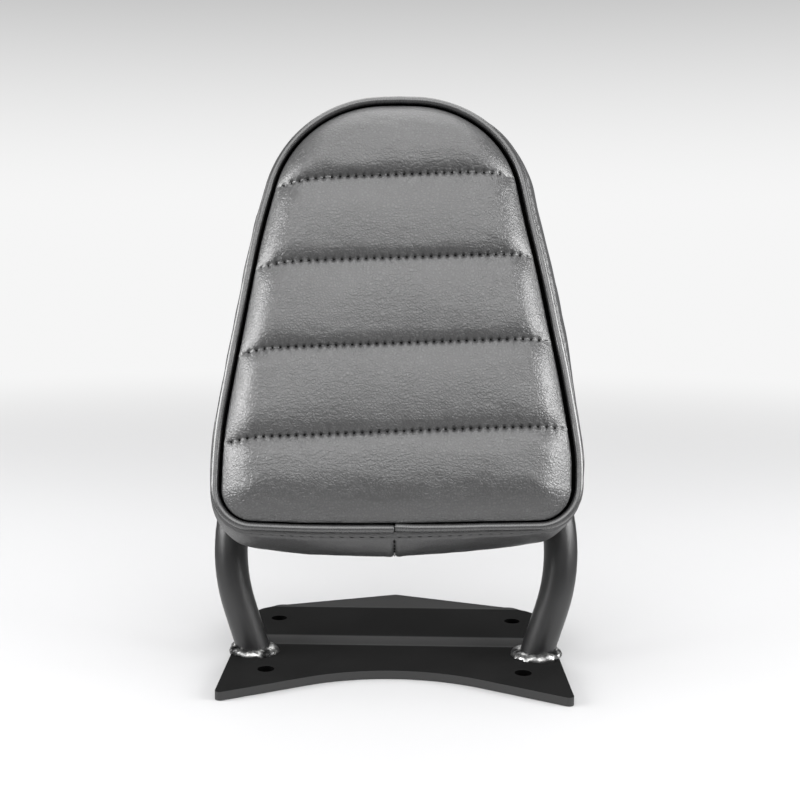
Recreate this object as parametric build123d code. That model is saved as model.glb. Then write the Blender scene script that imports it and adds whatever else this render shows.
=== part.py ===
from build123d import *
import os
from math import atan2, cos, degrees, radians, sin, sqrt, tan

# Passenger backrest for a motorbike: a tuck-and-roll pad on a bent tube hoop,
# welded to a folded base plate. Millimetres, +Z up, the rider in front at -Y.
# Origin: midpoint of the front pair of bolt holes, on the underside of the base plate.

# Base plate
plate_thickness = 5.0
hole_spacing_x = 150.0
hole_spacing_y = 85.0
hole_diameter = 10.0
plate_front_half_width = 100.0
plate_foot_half_width = 98.5
plate_rear_half_width = 90.0
plate_rear_y = 111.5
front_edge_y = 0.3
front_edge_arc_radius = 102.0
front_edge_angle = 29.7
front_corner_radius = 3.0
side_blend_radius = 60.0
rear_corner_radius = 17.5
joggle_y = 50.5
joggle_rise = 4.5
joggle_angle = 60.0
joggle_bend_radius = 1.5
lip_length = 9.6
lip_angle = 35.0
lip_half_width = 72.0
lip_bend_radius = 8.0

# Hoop of bent round tube
tube_diameter = 20.0
tube_wall = 2.0
foot_half_spacing = 85.5
foot_y = 33.0
leg_splay = 17.0
leg_bend_height = 58.0
leg_bend_radius = 100.0
arch_bend_radius = 55.0
arch_below_pad_top = 42.0

# Foot welds
weld_radius = 13.4
weld_height = 3.6
weld_ripples = 20
ripple_depth = 0.9
weld_face_angle = 42.0

# Crossbars that carry the pad
bar_thickness = 3.0
bar_width = 25.0
bar_hole_diameter = 6.6
lower_bar_height = 58.0
upper_bar_below_bend = 3.65
screw_half_spacing = 45.0
bar_overhang = 9.0
bar_corner_radius = 2.0
bar_weld_radius = 3.2
bar_weld_axis = 2.2
bar_weld_length = 21.0
bar_weld_clearance = 0.2

# Pad outline, seen square to its face, at the outer edge of the piping
pad_lean = 20.0
pad_rise = 10.8
pad_height = 262.0
pad_half_width = 105.5
pad_side_taper = 11.7
pad_top_radius = 260.0
pad_shoulder_radius = 71.0
pad_side_radius = 440.0
pad_corner_radius = 25.0
pad_bottom_radius = 2600.0

# Swell of the boxing at half its depth
side_swell = 5.0
bottom_swell = 10.0
swollen_bottom_radius = 700.0

# Pad layers, measured forward from the pad's back
rim_depth = 44.0
vinyl_thickness = 1.2
rear_cover_thickness = 1.0
rear_cover_inset = 12.0
turn_in_width = 24.0
back_edge_inset = 1.5
back_edge_radius = 2.0
board_thickness = 9.0
board_clearance = 0.3
panel_base_thickness = 3.5

# Domed front panel and its rolls
roll_count = 5
roll_pitch = 52.1
first_seam_height = 56.4
roll_slant = 2.1
roll_crest = 14.9
roll_valley = 7.9
roll_shoulder = 6.0
face_crown_radius = 2500.0
panel_inset = 4.5
panel_edge_drop = 0.6
dome_edge_width = 19.0
seam_clearance = 0.1

# Piping with its sewn flange
piping_diameter = 4.4
piping_round_angle = 200.0
piping_flange_depth = 7.0
piping_flange_thickness = 1.2

# Fasteners
screw_diameter = 6.0
screw_length = 16.0
screw_head_width = 10.0
screw_head_height = 4.0
thread_clearance = 0.05
washer_diameter = 14.0
washer_thickness = 1.2
lock_washer_diameter = 10.0
lock_washer_thickness = 1.5
lock_washer_gap = 1.4
tee_flange_diameter = 19.0
tee_flange_thickness = 1.2
tee_barrel_diameter = 7.8
tee_prong_length = 5.0
tee_prong_width = 2.6
staple_crown = 10.0
staple_wire = 0.7
staple_leg = 6.0
staple_inset = 5.0
staple_count = 20

# Places that follow from the values above
front_arc_x = front_edge_arc_radius * sin(radians(front_edge_angle))
front_arc_y = front_edge_y - front_edge_arc_radius * (1 - cos(radians(front_edge_angle)))
front_corner_y = front_arc_y - (plate_front_half_width - front_arc_x) * tan(radians(front_edge_angle))
tube_radius = tube_diameter / 2
piping_radius = piping_diameter / 2
board_back = rear_cover_thickness + vinyl_thickness
board_front = board_back + board_thickness
panel_back = rim_depth - piping_radius - panel_base_thickness
boxing_front = rim_depth + piping_radius * cos(radians(piping_round_angle / 2)) - seam_clearance
flange_back = rim_depth - piping_radius - piping_flange_depth
axis_behind_pad = bar_thickness + tube_radius
screw_head_back = -bar_thickness - washer_thickness - lock_washer_thickness

pad_up = Vector(0, sin(radians(pad_lean)), cos(radians(pad_lean)))
pad_front = Vector(0, -cos(radians(pad_lean)), sin(radians(pad_lean)))
leg_bend_point = Vector(0, foot_y, plate_thickness + leg_bend_height)
pad_origin = leg_bend_point + pad_up * pad_rise + pad_front * axis_behind_pad
pad_plane = Plane(origin=pad_origin, x_dir=(1, 0, 0), z_dir=pad_front)

# The upper crossbar sits on the straight legs, just under the bends of the arch
arch_turn = radians(90 - pad_side_taper)
arch_bend_run = arch_bend_radius * tan(arch_turn / 2) * cos(radians(pad_side_taper))
arch_bend_start = pad_height - arch_below_pad_top - arch_bend_run
upper_bar_height = arch_bend_start - upper_bar_below_bend - bar_width / 2


def at_depth(depth):
    return pad_plane.offset(depth)


def pad_outline(inset, swell=0.0):
    """Right half of the pad's outline as tangent arcs and a line, mirrored to the left."""
    taper = radians(pad_side_taper)
    half_width = pad_half_width + swell * side_swell
    bottom = -swell * bottom_swell
    top = pad_height + swell * side_swell
    bottom_radius = 1 / ((1 - swell) / pad_bottom_radius + swell / swollen_bottom_radius)
    corner_radius = pad_corner_radius + swell * side_swell
    shoulder_radius = pad_shoulder_radius + swell * side_swell
    top_radius = pad_top_radius + swell * side_swell
    side_radius = pad_side_radius + swell * side_swell

    # The corner arc touches the bottom arc from inside
    corner_x = half_width - corner_radius
    reach = bottom_radius - corner_radius
    corner_y = bottom + bottom_radius - sqrt(reach**2 - corner_x**2)
    bottom_half_angle = degrees(atan2(corner_x, sqrt(reach**2 - corner_x**2)))

    # The side arc starts upright, where the corner arc ends, and turns to the taper
    side_x = half_width - side_radius
    side_end = Vector(side_x + side_radius * cos(taper), corner_y + side_radius * sin(taper))

    # The shoulder arc touches the tapered line and, from inside, the top arc
    outward = Vector(cos(taper), sin(taper))
    along = Vector(-sin(taper), cos(taper))
    start = side_end - outward * shoulder_radius
    top_centre = Vector(0, top - top_radius)
    gap = start - top_centre
    half_b = gap.dot(along)
    run = -half_b + sqrt(half_b**2 - gap.dot(gap) + (top_radius - shoulder_radius) ** 2)
    shoulder = start + along * run
    rise = shoulder - top_centre
    top_start_angle = degrees(atan2(rise.Y, rise.X))

    line_start = side_end - outward * inset
    line_end = shoulder + outward * (shoulder_radius - inset)
    with BuildLine() as half:
        CenterArc(
            (0, bottom + bottom_radius), bottom_radius - inset, -90, bottom_half_angle
        )
        CenterArc(
            (corner_x, corner_y),
            corner_radius - inset,
            -90 + bottom_half_angle,
            90 - bottom_half_angle,
        )
        CenterArc((side_x, corner_y), side_radius - inset, 0, pad_side_taper)
        Line((line_start.X, line_start.Y), (line_end.X, line_end.Y))
        CenterArc(
            (shoulder.X, shoulder.Y),
            shoulder_radius - inset,
            pad_side_taper,
            top_start_angle - pad_side_taper,
        )
        CenterArc(
            (top_centre.X, top_centre.Y),
            top_radius - inset,
            top_start_angle,
            90 - top_start_angle,
        )
        mirror(about=Plane.YZ)
    return make_face(half.edges()).face()


def pad_body(inset):
    """The pad's swelled form from its back to the piping, its sides moved in by inset."""
    sections = (
        (rear_cover_thickness, back_edge_inset + inset, 0.0),
        (rim_depth * 0.5, inset, 1.0),
        (boxing_front, inset, 0.0),
    )
    faces = [at_depth(depth) * pad_outline(side, swell) for depth, side, swell in sections]
    return loft(faces)


def pad_slab(inset, back, front):
    """A flat layer with the pad's outline between two depths."""
    return extrude(at_depth(back) * pad_outline(inset), front - back)


def screw_places():
    """Centres of the mounting screws, seen square to the pad."""
    return [
        (side * screw_half_spacing, height)
        for height in (lower_bar_height, upper_bar_height)
        for side in (-1, 1)
    ]


def rods(diameter, back, front):
    """One round bar at each mounting screw, between two depths."""
    spots = [Pos(x, y) * Circle(diameter / 2) for x, y in screw_places()]
    return [extrude(at_depth(back) * spot, front - back) for spot in spots]


def base_plate():
    """Folded sheet: the side section gives the bends, the plan gives the outline."""
    ramp = joggle_rise / tan(radians(joggle_angle))
    lip_y = plate_rear_y + lip_length * cos(radians(lip_angle))
    lip_z = joggle_rise + lip_length * sin(radians(lip_angle))
    with BuildSketch(Plane.YZ) as section:
        with BuildLine():
            FilletPolyline(
                (front_corner_y - plate_thickness, 0),
                (joggle_y - ramp / 2, 0),
                (joggle_y + ramp / 2, joggle_rise),
                (plate_rear_y, joggle_rise),
                (lip_y + plate_thickness, lip_z + plate_thickness * tan(radians(lip_angle))),
                radius=[joggle_bend_radius + plate_thickness, joggle_bend_radius, lip_bend_radius],
            )
            offset(amount=plate_thickness, side=Side.LEFT)
        make_face()
    sheet = extrude(section.sketch, plate_front_half_width + plate_thickness, both=True)
    plan = extrude(plate_outline(lip_y), 3 * plate_thickness + lip_z)
    holes = [
        Pos(x, y, -plate_thickness) * extrude(Circle(hole_diameter / 2), 4 * plate_thickness)
        for x in (-hole_spacing_x / 2, hole_spacing_x / 2)
        for y in (0, hole_spacing_y)
    ]
    return sheet & plan - holes


def plate_outline(lip_y):
    """Plan of the plate: concave front edge, tapered sides, shallow V at the rear."""
    with BuildSketch() as plan:
        with BuildLine():
            ThreePointArc((-front_arc_x, front_arc_y), (0, front_edge_y), (front_arc_x, front_arc_y))
            right = Polyline(
                (front_arc_x, front_arc_y),
                (plate_front_half_width, front_corner_y),
                (plate_foot_half_width, foot_y + tube_radius),
                (plate_rear_half_width, plate_rear_y),
                (lip_half_width, plate_rear_y),
                (0, lip_y),
            )
            mirror(right, about=Plane.YZ)
        make_face()
        front = plan.vertices().group_by(Axis.Y)[0]
        fillet(front, front_corner_radius)
        rear = [
            v for v in plan.vertices()
            if abs(abs(v.X) - plate_rear_half_width) < 0.01 and abs(v.Y - plate_rear_y) < 0.01
        ]
        fillet(rear, rear_corner_radius)
        waist = [v for v in plan.vertices() if abs(abs(v.X) - plate_foot_half_width) < 0.01]
        fillet(waist, side_blend_radius)
    return plan.sketch


def hoop_side_x(height):
    """Distance of the hoop's axis from the middle, at a height on the pad."""
    leg_x = foot_half_spacing + leg_bend_height * tan(radians(leg_splay))
    return leg_x - (height + pad_rise) * tan(radians(pad_side_taper))


def hoop_path(below_plate):
    """Axis of the tube from foot to foot, starting a little below the plate's top."""
    top = pad_height - arch_below_pad_top
    foot_x = foot_half_spacing - below_plate * tan(radians(leg_splay))
    foot = (foot_x, foot_y, plate_thickness - below_plate)
    bend = (hoop_side_x(-pad_rise), foot_y, plate_thickness + leg_bend_height)
    arch = at_depth(-axis_behind_pad).from_local_coords(Vector(hoop_side_x(top), top))
    right = [foot, bend, (arch.X, arch.Y, arch.Z)]
    left = [(-x, y, z) for x, y, z in reversed(right)]
    radii = [leg_bend_radius, arch_bend_radius, arch_bend_radius, leg_bend_radius]
    return FilletPolyline(*right, *left, radius=radii)


def hoop_solid(diameter):
    """Round bar along the hoop's path, cut off flush with the top of the plate."""
    path = hoop_path(tube_radius)
    start = Plane(origin=path @ 0, z_dir=path % 0)
    bar = sweep(start * Circle(diameter / 2), path=path)
    return split(bar, Plane.XY.offset(plate_thickness), keep=Keep.TOP)


def hoop_tube():
    return hoop_solid(tube_diameter) - hoop_solid(tube_diameter - 2 * tube_wall)


def foot_weld(side, bar):
    """Rippled bead round a foot: a notched ring that narrows up the tube."""
    step = 180 / weld_ripples
    radii = [weld_radius, weld_radius - ripple_depth] * weld_ripples
    points = [
        (radius * cos(radians(step * number)), radius * sin(radians(step * number)))
        for number, radius in enumerate(radii)
    ]
    foot = make_face(Polyline(*points, close=True)).face()
    top_share = 1 - weld_height * tan(radians(weld_face_angle)) / weld_radius
    top = Pos(0, 0, weld_height) * scale(foot, by=top_share)
    bead = loft([foot, top], ruled=True)
    return Pos(side * foot_half_spacing, foot_y, plate_thickness) * bead - bar


def crossbar(height):
    """Flat bar across the front of the hoop, its ends cut parallel to the tubes."""
    low = height - bar_width / 2
    high = height + bar_width / 2
    low_end = hoop_side_x(low) + bar_overhang
    high_end = hoop_side_x(high) + bar_overhang
    corners = [(-low_end, low), (low_end, low), (high_end, high), (-high_end, high)]
    with BuildSketch(at_depth(-bar_thickness)) as flat:
        with BuildLine():
            Polyline(*corners, close=True)
        make_face()
        fillet(flat.vertices(), bar_corner_radius)
    bar = extrude(flat.sketch, bar_thickness)
    return bar - rods(bar_hole_diameter, -bar_thickness - 1, 1)


def crossbar_welds(height):
    """Beads in the corners between a crossbar's back and both tubes."""
    taper = radians(pad_side_taper)
    across = Plane(
        origin=(hoop_side_x(height), height, 0),
        x_dir=(cos(taper), sin(taper), 0),
        z_dir=(-sin(taper), cos(taper), 0),
    )
    corner = sqrt(tube_radius**2 - (tube_radius - bar_weld_radius) ** 2)
    bead = Pos(corner, bar_weld_axis - tube_radius) * Circle(bar_weld_radius)
    behind_bar = Rectangle(4 * tube_radius, tube_radius, align=(Align.CENTER, Align.MAX))
    section = bead & behind_bar - Circle(tube_radius + bar_weld_clearance)
    pair = extrude(section + mirror(section, Plane.YZ), bar_weld_length / 2, both=True)
    right = [at_depth(-axis_behind_pad) * across * solid for solid in pair.solids()]
    return right + [mirror(solid, Plane.YZ) for solid in right]


def piping():
    """Welt cord and its sewn flange, in one loop round the front edge."""
    loop = (at_depth(rim_depth) * pad_outline(piping_radius)).outer_wire()
    flat = piping_radius * cos(radians(piping_round_angle / 2))
    with BuildSketch(Plane(origin=loop @ 0, x_dir=pad_front, z_dir=loop % 0)) as section:
        Circle(piping_radius)
        with Locations((flat, 0)):
            Rectangle(
                2 * piping_radius,
                2 * piping_radius,
                align=(Align.MAX, Align.CENTER),
                mode=Mode.SUBTRACT,
            )
    cord = sweep(section.sketch, path=loop)
    outer = piping_radius - piping_flange_thickness / 2
    flange = pad_slab(outer, flange_back, rim_depth)
    flange = flange - pad_slab(outer + piping_flange_thickness, flange_back, rim_depth)
    return cord + flange


def side_boxing():
    """Vinyl band from the piping round the swelled side, turned in over the board's back."""
    outer = pad_body(0)
    back_face = outer.faces().sort_by(Axis(pad_origin, pad_front))[0]
    outer = fillet(back_face.edges(), back_edge_radius)
    inner = split(pad_body(vinyl_thickness), at_depth(board_back), keep=Keep.TOP)
    opening = pad_slab(turn_in_width, 0, board_back)
    return outer - inner - opening


def roll_form():
    """All rolls in one section, turned about a far axis that crowns the face sideways."""
    seams = [first_seam_height + roll_pitch * number for number in range(-1, roll_count)]
    valley = rim_depth + roll_valley
    crest = rim_depth + roll_crest
    pull = valley + (roll_crest - roll_valley) / 0.75
    section_plane = Plane(origin=pad_origin, x_dir=pad_up, z_dir=(1, 0, 0))
    with BuildSketch(section_plane) as section:
        with BuildLine():
            for low, high in zip(seams[:-1], seams[1:]):
                Bezier(
                    (low, valley),
                    (low + roll_shoulder, pull),
                    (high - roll_shoulder, pull),
                    (high, valley),
                )
            Polyline(
                (seams[-1], valley),
                (seams[-1], panel_back),
                (seams[0], panel_back),
                (seams[0], valley),
            )
        make_face()
    axis = Axis(pad_origin + pad_front * (crest - face_crown_radius), pad_up)
    half_angle = degrees(atan2(pad_half_width + dome_edge_width, face_crown_radius))
    form = revolve(section.sketch.rotate(axis, -half_angle), axis, 2 * half_angle)
    return form.rotate(Axis(pad_origin, pad_front), roll_slant)


def panel_dome():
    """Closed form whose edge rises from the piping and rounds over to a flat front."""
    rise = roll_crest + panel_edge_drop
    sections = []
    for turn in (0, 30, 60, 90):
        inset = panel_inset + dome_edge_width * (1 - cos(radians(turn)))
        depth = rim_depth - panel_edge_drop + rise * sin(radians(turn))
        sections.append(at_depth(depth) * pad_outline(inset))
    return loft(sections)


def front_cover():
    """Sewn panel: the rolls, domed towards the piping, on a flat backing."""
    backing_inset = piping_radius + piping_flange_thickness / 2 + seam_clearance
    backing = pad_slab(backing_inset, panel_back, panel_back + panel_base_thickness)
    middle = pad_slab(panel_inset, panel_back, rim_depth - panel_edge_drop)
    return panel_dome() & roll_form() + middle + backing


def foam_core():
    """Foam block that fills the boxing from the board to the back of the panel."""
    inner = pad_body(vinyl_thickness)
    wide = split(inner, at_depth(board_front), keep=Keep.TOP)
    wide = split(wide, at_depth(flange_back), keep=Keep.BOTTOM)
    backing_inset = piping_radius + piping_flange_thickness / 2 + seam_clearance
    return wide + pad_slab(backing_inset, flange_back, panel_back)


def base_board():
    """Plywood board under the foam, drilled for the tee nuts."""
    board_inset = back_edge_inset + vinyl_thickness + board_clearance
    board = pad_slab(board_inset, board_back, board_front)
    return board - rods(tee_barrel_diameter, 0, board_front)


def rear_cover():
    """Sheet that closes the pad's back over the turned-in boxing."""
    sheet = pad_slab(rear_cover_inset, 0, rear_cover_thickness)
    return sheet - rods(tee_barrel_diameter, -1, board_back)


def clear_of_bars(point):
    """True where a staple at this point lies above or below both crossbars."""
    height = pad_plane.to_local_coords(point).Y
    room = (bar_width + staple_crown) / 2 + seam_clearance
    return all(abs(height - bar) > room for bar in (lower_bar_height, upper_bar_height))


def rear_cover_staples():
    """Staples along the edge of the rear cover, their legs in the board."""
    loop = (at_depth(0) * pad_outline(rear_cover_inset + staple_inset)).outer_wire()
    crown = Pos(0, 0, -staple_wire / 2) * Box(staple_crown, 2 * staple_wire, staple_wire)
    leg = Box(staple_wire, 2 * staple_wire, staple_leg, align=(Align.CENTER, Align.CENTER, Align.MIN))
    reach = (staple_crown - staple_wire) / 2
    staple = crown + [Pos(-reach, 0, 0) * leg, Pos(reach, 0, 0) * leg]
    planes = [
        Plane(origin=loop @ place, x_dir=loop % place, z_dir=pad_front)
        for place in [(number + 0.5) / staple_count for number in range(staple_count)]
    ]
    return [plane * staple for plane in planes if clear_of_bars(plane.origin)]


def screw_planes(depth):
    return [at_depth(depth) * Plane(origin=(x, y, 0)) for x, y in screw_places()]


def mounting_screws():
    """Hexagon head screws put in from behind the crossbars."""
    head = extrude(RegularPolygon(screw_head_width / 2, 6, major_radius=False), screw_head_height)
    shank = extrude(Circle(screw_diameter / 2 - thread_clearance), screw_head_height + screw_length)
    return [plane * (head + shank) for plane in screw_planes(screw_head_back - screw_head_height)]


def ring(outer_diameter, inner_diameter, thickness):
    return extrude(Circle(outer_diameter / 2) - Circle(inner_diameter / 2), thickness)


def washers():
    washer = ring(washer_diameter, bar_hole_diameter, washer_thickness)
    return [plane * washer for plane in screw_planes(-bar_thickness - washer_thickness)]


def lock_washers():
    """Split spring washers between the screw heads and the plain washers."""
    slot = Pos(lock_washer_diameter / 2, 0) * Box(
        lock_washer_diameter, lock_washer_gap, 4 * lock_washer_thickness
    )
    washer = ring(lock_washer_diameter, bar_hole_diameter, lock_washer_thickness) - slot
    return [plane * washer for plane in screw_planes(screw_head_back)]


def tee_nuts():
    """Flanged nuts pressed into the front of the board, with four prongs each."""
    barrel_length = board_thickness - board_clearance
    flange = ring(tee_flange_diameter, screw_diameter, tee_flange_thickness)
    barrel = Pos(0, 0, -barrel_length) * ring(tee_barrel_diameter, screw_diameter, barrel_length)
    prong = Pos(0, tee_flange_diameter / 2 - tee_flange_thickness, 0) * Box(
        tee_prong_width,
        tee_flange_thickness,
        tee_prong_length,
        align=(Align.CENTER, Align.CENTER, Align.MAX),
    )
    prongs = [Rot(0, 0, turn) * prong for turn in (45, 135, 225, 315)]
    nut = flange + barrel + prongs
    return [plane * nut for plane in screw_planes(board_front)]


def build():
    """Make every piece, cut what is pressed in or passes through, and return them by name."""
    plate = base_plate()
    bar = hoop_solid(tube_diameter)
    nuts = tee_nuts()
    staples = rear_cover_staples()
    return {
        "base_plate": plate,
        "hoop_tube": hoop_tube(),
        "foot_weld_left": foot_weld(-1, bar) - plate,
        "foot_weld_right": foot_weld(1, bar) - plate,
        "lower_crossbar": crossbar(lower_bar_height),
        "upper_crossbar": crossbar(upper_bar_height),
        "lower_crossbar_welds": crossbar_welds(lower_bar_height),
        "upper_crossbar_welds": crossbar_welds(upper_bar_height),
        "base_board": base_board() - nuts - staples,
        "foam_core": foam_core() - nuts,
        "front_cover": front_cover(),
        "piping": piping(),
        "side_boxing": side_boxing() - staples,
        "rear_cover": rear_cover() - staples,
        "rear_cover_staples": staples,
        "tee_nuts": nuts,
        "mounting_screws": mounting_screws(),
        "washers": washers(),
        "lock_washers": lock_washers(),
    }


os.makedirs("parts", exist_ok=True)
for name, shape in build().items():
    solids = shape if isinstance(shape, list) else [shape]
    solids = [solid for item in solids for solid in item.solids()]
    node = solids[0] if len(solids) == 1 else Compound(children=solids)
    export_step(node, f"parts/{name}.step")
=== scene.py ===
import bpy
import bmesh
import numpy as np
from math import atan2, cos, pi, radians, sin, sqrt, tan
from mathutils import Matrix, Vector, noise
from mathutils.bvhtree import BVHTree
from mathutils.kdtree import KDTree


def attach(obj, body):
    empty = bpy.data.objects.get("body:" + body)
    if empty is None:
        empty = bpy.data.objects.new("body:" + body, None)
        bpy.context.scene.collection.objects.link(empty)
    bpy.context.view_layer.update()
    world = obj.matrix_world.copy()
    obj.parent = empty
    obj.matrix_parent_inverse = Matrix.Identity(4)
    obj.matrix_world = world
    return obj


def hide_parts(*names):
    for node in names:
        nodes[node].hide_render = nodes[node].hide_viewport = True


# Passenger backrest: a tuck-and-roll pad on a bent tube hoop over a folded plate. Metres.

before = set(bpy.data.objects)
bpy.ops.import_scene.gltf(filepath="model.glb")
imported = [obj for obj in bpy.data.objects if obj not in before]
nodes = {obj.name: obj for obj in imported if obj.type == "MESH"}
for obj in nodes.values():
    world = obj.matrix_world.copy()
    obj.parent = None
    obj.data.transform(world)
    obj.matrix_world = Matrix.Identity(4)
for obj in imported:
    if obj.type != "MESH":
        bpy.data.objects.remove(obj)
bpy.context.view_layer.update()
scene = bpy.context.scene
print("frame loaded")

# camera, floor and light
shot = {
    "cameraAt": (0.0052, -0.7487, 0.2696), "cameraLooks": (-0.046, 0.989, -0.139), "lens": 60.0,
    "sensor": 36.0, "shiftX": 0.071,
}
stage = {
    "floorSize": 40.0,
    "floorDrop": 0.0002,    # keeps the floor clear of the plate
    "floorColour": (0.55, 0.55, 0.555), "floorRoughness": 0.8, "floorSpecular": 0.1,
    "bounceNear": 0.60,     # the floor as the light that bounces sees it
    "bounceFar": 0.12,
    "bounceFade": (0.16, 0.40),     # metres from the middle, from near to far
    "backdropFade": (0.35, 1.6),    # metres over which the floor turns into the backdrop
    "nearTone": 0.92,       # backdrop seen low down
    "highTone": 0.25,       # backdrop seen high up
    "highAt": 0.30,
    "mirrored": 0.08,       # share of the backdrop that gloss shows
    "ambient": 0.13,
}
lamps = (
    # name, place, aim, size, watts
    ("frontSoftbox", (0.0, -1.24, 1.40), (0, 0.03, 0.19), (1.9, 1.5), 24.5),
    ("overheadSoftbox", (0.0, 0.25, 1.60), (0, 0.05, 0.2), (1.5, 1.3), 15),
    ("leftStrip", (-1.12, -0.22, 0.56), (0, 0.03, 0.2), (1.1, 0.6), 17.5),
    ("rightStrip", (1.12, -0.22, 0.56), (0, 0.03, 0.2), (1.1, 0.6), 17.5),
    ("rearSoftbox", (0.0, 1.3, 1.2), (0, 0.05, 0.2), (1.2, 0.7), 4.5),
)


def setUpCamera():
    data = bpy.data.cameras.new("camera")
    data.lens = shot["lens"]
    data.sensor_width = shot["sensor"]
    data.shift_x = shot["shiftX"]
    camera = bpy.data.objects.new("camera", data)
    scene.collection.objects.link(camera)
    camera.location = shot["cameraAt"]
    looks = Vector(shot["cameraLooks"]).normalized()
    camera.rotation_euler = looks.to_track_quat("-Z", "Y").to_euler()
    scene.camera = camera


def addLamp(name, place, target, size, power):
    data = bpy.data.lights.new(name, "AREA")
    data.shape = "RECTANGLE"
    data.size, data.size_y = size
    data.energy = power
    lamp = bpy.data.objects.new(name, data)
    scene.collection.objects.link(lamp)
    lamp.location = place
    aim = Vector(target) - Vector(place)
    lamp.rotation_euler = aim.to_track_quat("-Z", "Y").to_euler()


# node helpers: a node with its inputs linked or set, and one for sums
def addNode(tree, kind, links=None, **settings):
    node = tree.nodes.new("ShaderNode" + kind)
    for key, value in settings.items():
        if hasattr(node, key):
            setattr(node, key, value)
        else:
            node.inputs[key].default_value = value
    for socket, source in (links or {}).items():
        tree.links.new(source, node.inputs[socket])
    return node


def maths(tree, operation, first, second=None):
    node = addNode(tree, "Math", operation=operation)
    for slot, value in enumerate((first, second)):
        if value is None:
            continue
        if isinstance(value, (int, float)):
            node.inputs[slot].default_value = value
        else:
            tree.links.new(value, node.inputs[slot])
    return node.outputs[0]


def times(tree, first, second):
    return maths(tree, "MULTIPLY", first, second)


# a value that runs from 0 to 1 between two limits
def rangeOf(tree, value, limits, kind="SMOOTHSTEP"):
    node = addNode(tree, "MapRange", {"Value": value}, interpolation_type=kind)
    node.inputs["From Min"].default_value, node.inputs["From Max"].default_value = limits
    return node


# a colour as four values, where a plain number is a grey
def rgba(colour):
    return (*colour, 1) if isinstance(colour, tuple) else (colour, colour, colour, 1)


# two colours mixed, each one a socket or a plain colour
def mixColours(tree, share, first, second):
    node = addNode(tree, "Mix", {"Factor": share}, data_type="RGBA")
    for slot, colour in ((6, first), (7, second)):
        if isinstance(colour, (tuple, float)):
            node.inputs[slot].default_value = rgba(colour)
        else:
            tree.links.new(colour, node.inputs[slot])
    return node.outputs[2]


def newMaterial(name, specular=0.5, metallic=0.0):
    material = bpy.data.materials.new(name)
    material.use_nodes = True
    tree = material.node_tree
    shader = tree.nodes["Principled BSDF"]
    shader.inputs["Specular IOR Level"].default_value = specular
    shader.inputs["Metallic"].default_value = metallic
    return material, tree, shader, addNode(tree, "TexCoord").outputs["Object"]


def noiseAt(tree, place, scale, detail, roughness=0.5):
    values = {"Scale": scale, "Detail": detail, "Roughness": roughness}
    return addNode(tree, "TexNoise", {"Vector": place}, **values).outputs[0]


# how much of the backdrop a ray sees: all from the camera, a share from gloss and clear pieces
def backdropShare(tree):
    path = addNode(tree, "LightPath")
    gloss = maths(tree, "MAXIMUM", path.outputs["Is Glossy Ray"], path.outputs["Is Transmission Ray"])
    mirrored = times(tree, gloss, stage["mirrored"])
    return maths(tree, "MAXIMUM", path.outputs["Is Camera Ray"], mirrored)


def setUpFloor():
    bpy.ops.mesh.primitive_plane_add(size=stage["floorSize"], location=(0, 0, -stage["floorDrop"]))
    floor = bpy.context.active_object
    floor.name = "floor"
    material, tree, shader, where = newMaterial("floorPaper", stage["floorSpecular"])
    length = addNode(tree, "VectorMath", {0: where}, operation="LENGTH")
    away = length.outputs["Value"]
    dim = rangeOf(tree, away, stage["bounceFade"])
    bounce = mixColours(tree, dim.outputs[0], stage["bounceNear"], stage["bounceFar"])
    paper = mixColours(tree, backdropShare(tree), bounce, stage["floorColour"])
    tree.links.new(paper, shader.inputs["Base Color"])
    shader.inputs["Roughness"].default_value = stage["floorRoughness"]
    fade = rangeOf(tree, away, stage["backdropFade"])
    far = addNode(tree, "Emission", Color=rgba(stage["nearTone"]))
    share = times(tree, fade.outputs[0], backdropShare(tree))
    mix = addNode(tree, "MixShader", {0: share, 1: shader.outputs[0], 2: far.outputs[0]})
    tree.links.new(mix.outputs[0], tree.nodes["Material Output"].inputs["Surface"])
    floor.data.materials.append(material)


def setUpWorld():
    world = bpy.data.worlds.new("studio")
    scene.world = world
    world.use_nodes = True
    tree = world.node_tree
    tree.nodes.clear()
    part = addNode(tree, "SeparateXYZ", {0: addNode(tree, "TexCoord").outputs["Generated"]})
    ramp = rangeOf(tree, part.outputs["Z"], (0.0, stage["highAt"]))
    ramp.inputs["To Min"].default_value = stage["nearTone"]
    ramp.inputs["To Max"].default_value = stage["highTone"]
    seen = addNode(tree, "Background", {"Color": ramp.outputs[0]})
    light = addNode(tree, "Background", Color=(1, 1, 1, 1), Strength=stage["ambient"])
    share = backdropShare(tree)
    mix = addNode(tree, "MixShader", {0: share, 1: light.outputs[0], 2: seen.outputs[0]})
    addNode(tree, "OutputWorld", {0: mix.outputs[0]})


setUpCamera()
setUpFloor()
setUpWorld()
for lamp in lamps:
    addLamp(*lamp)
scene.view_settings.view_transform = "Standard"
print("camera, floor and lamps placed")

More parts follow.
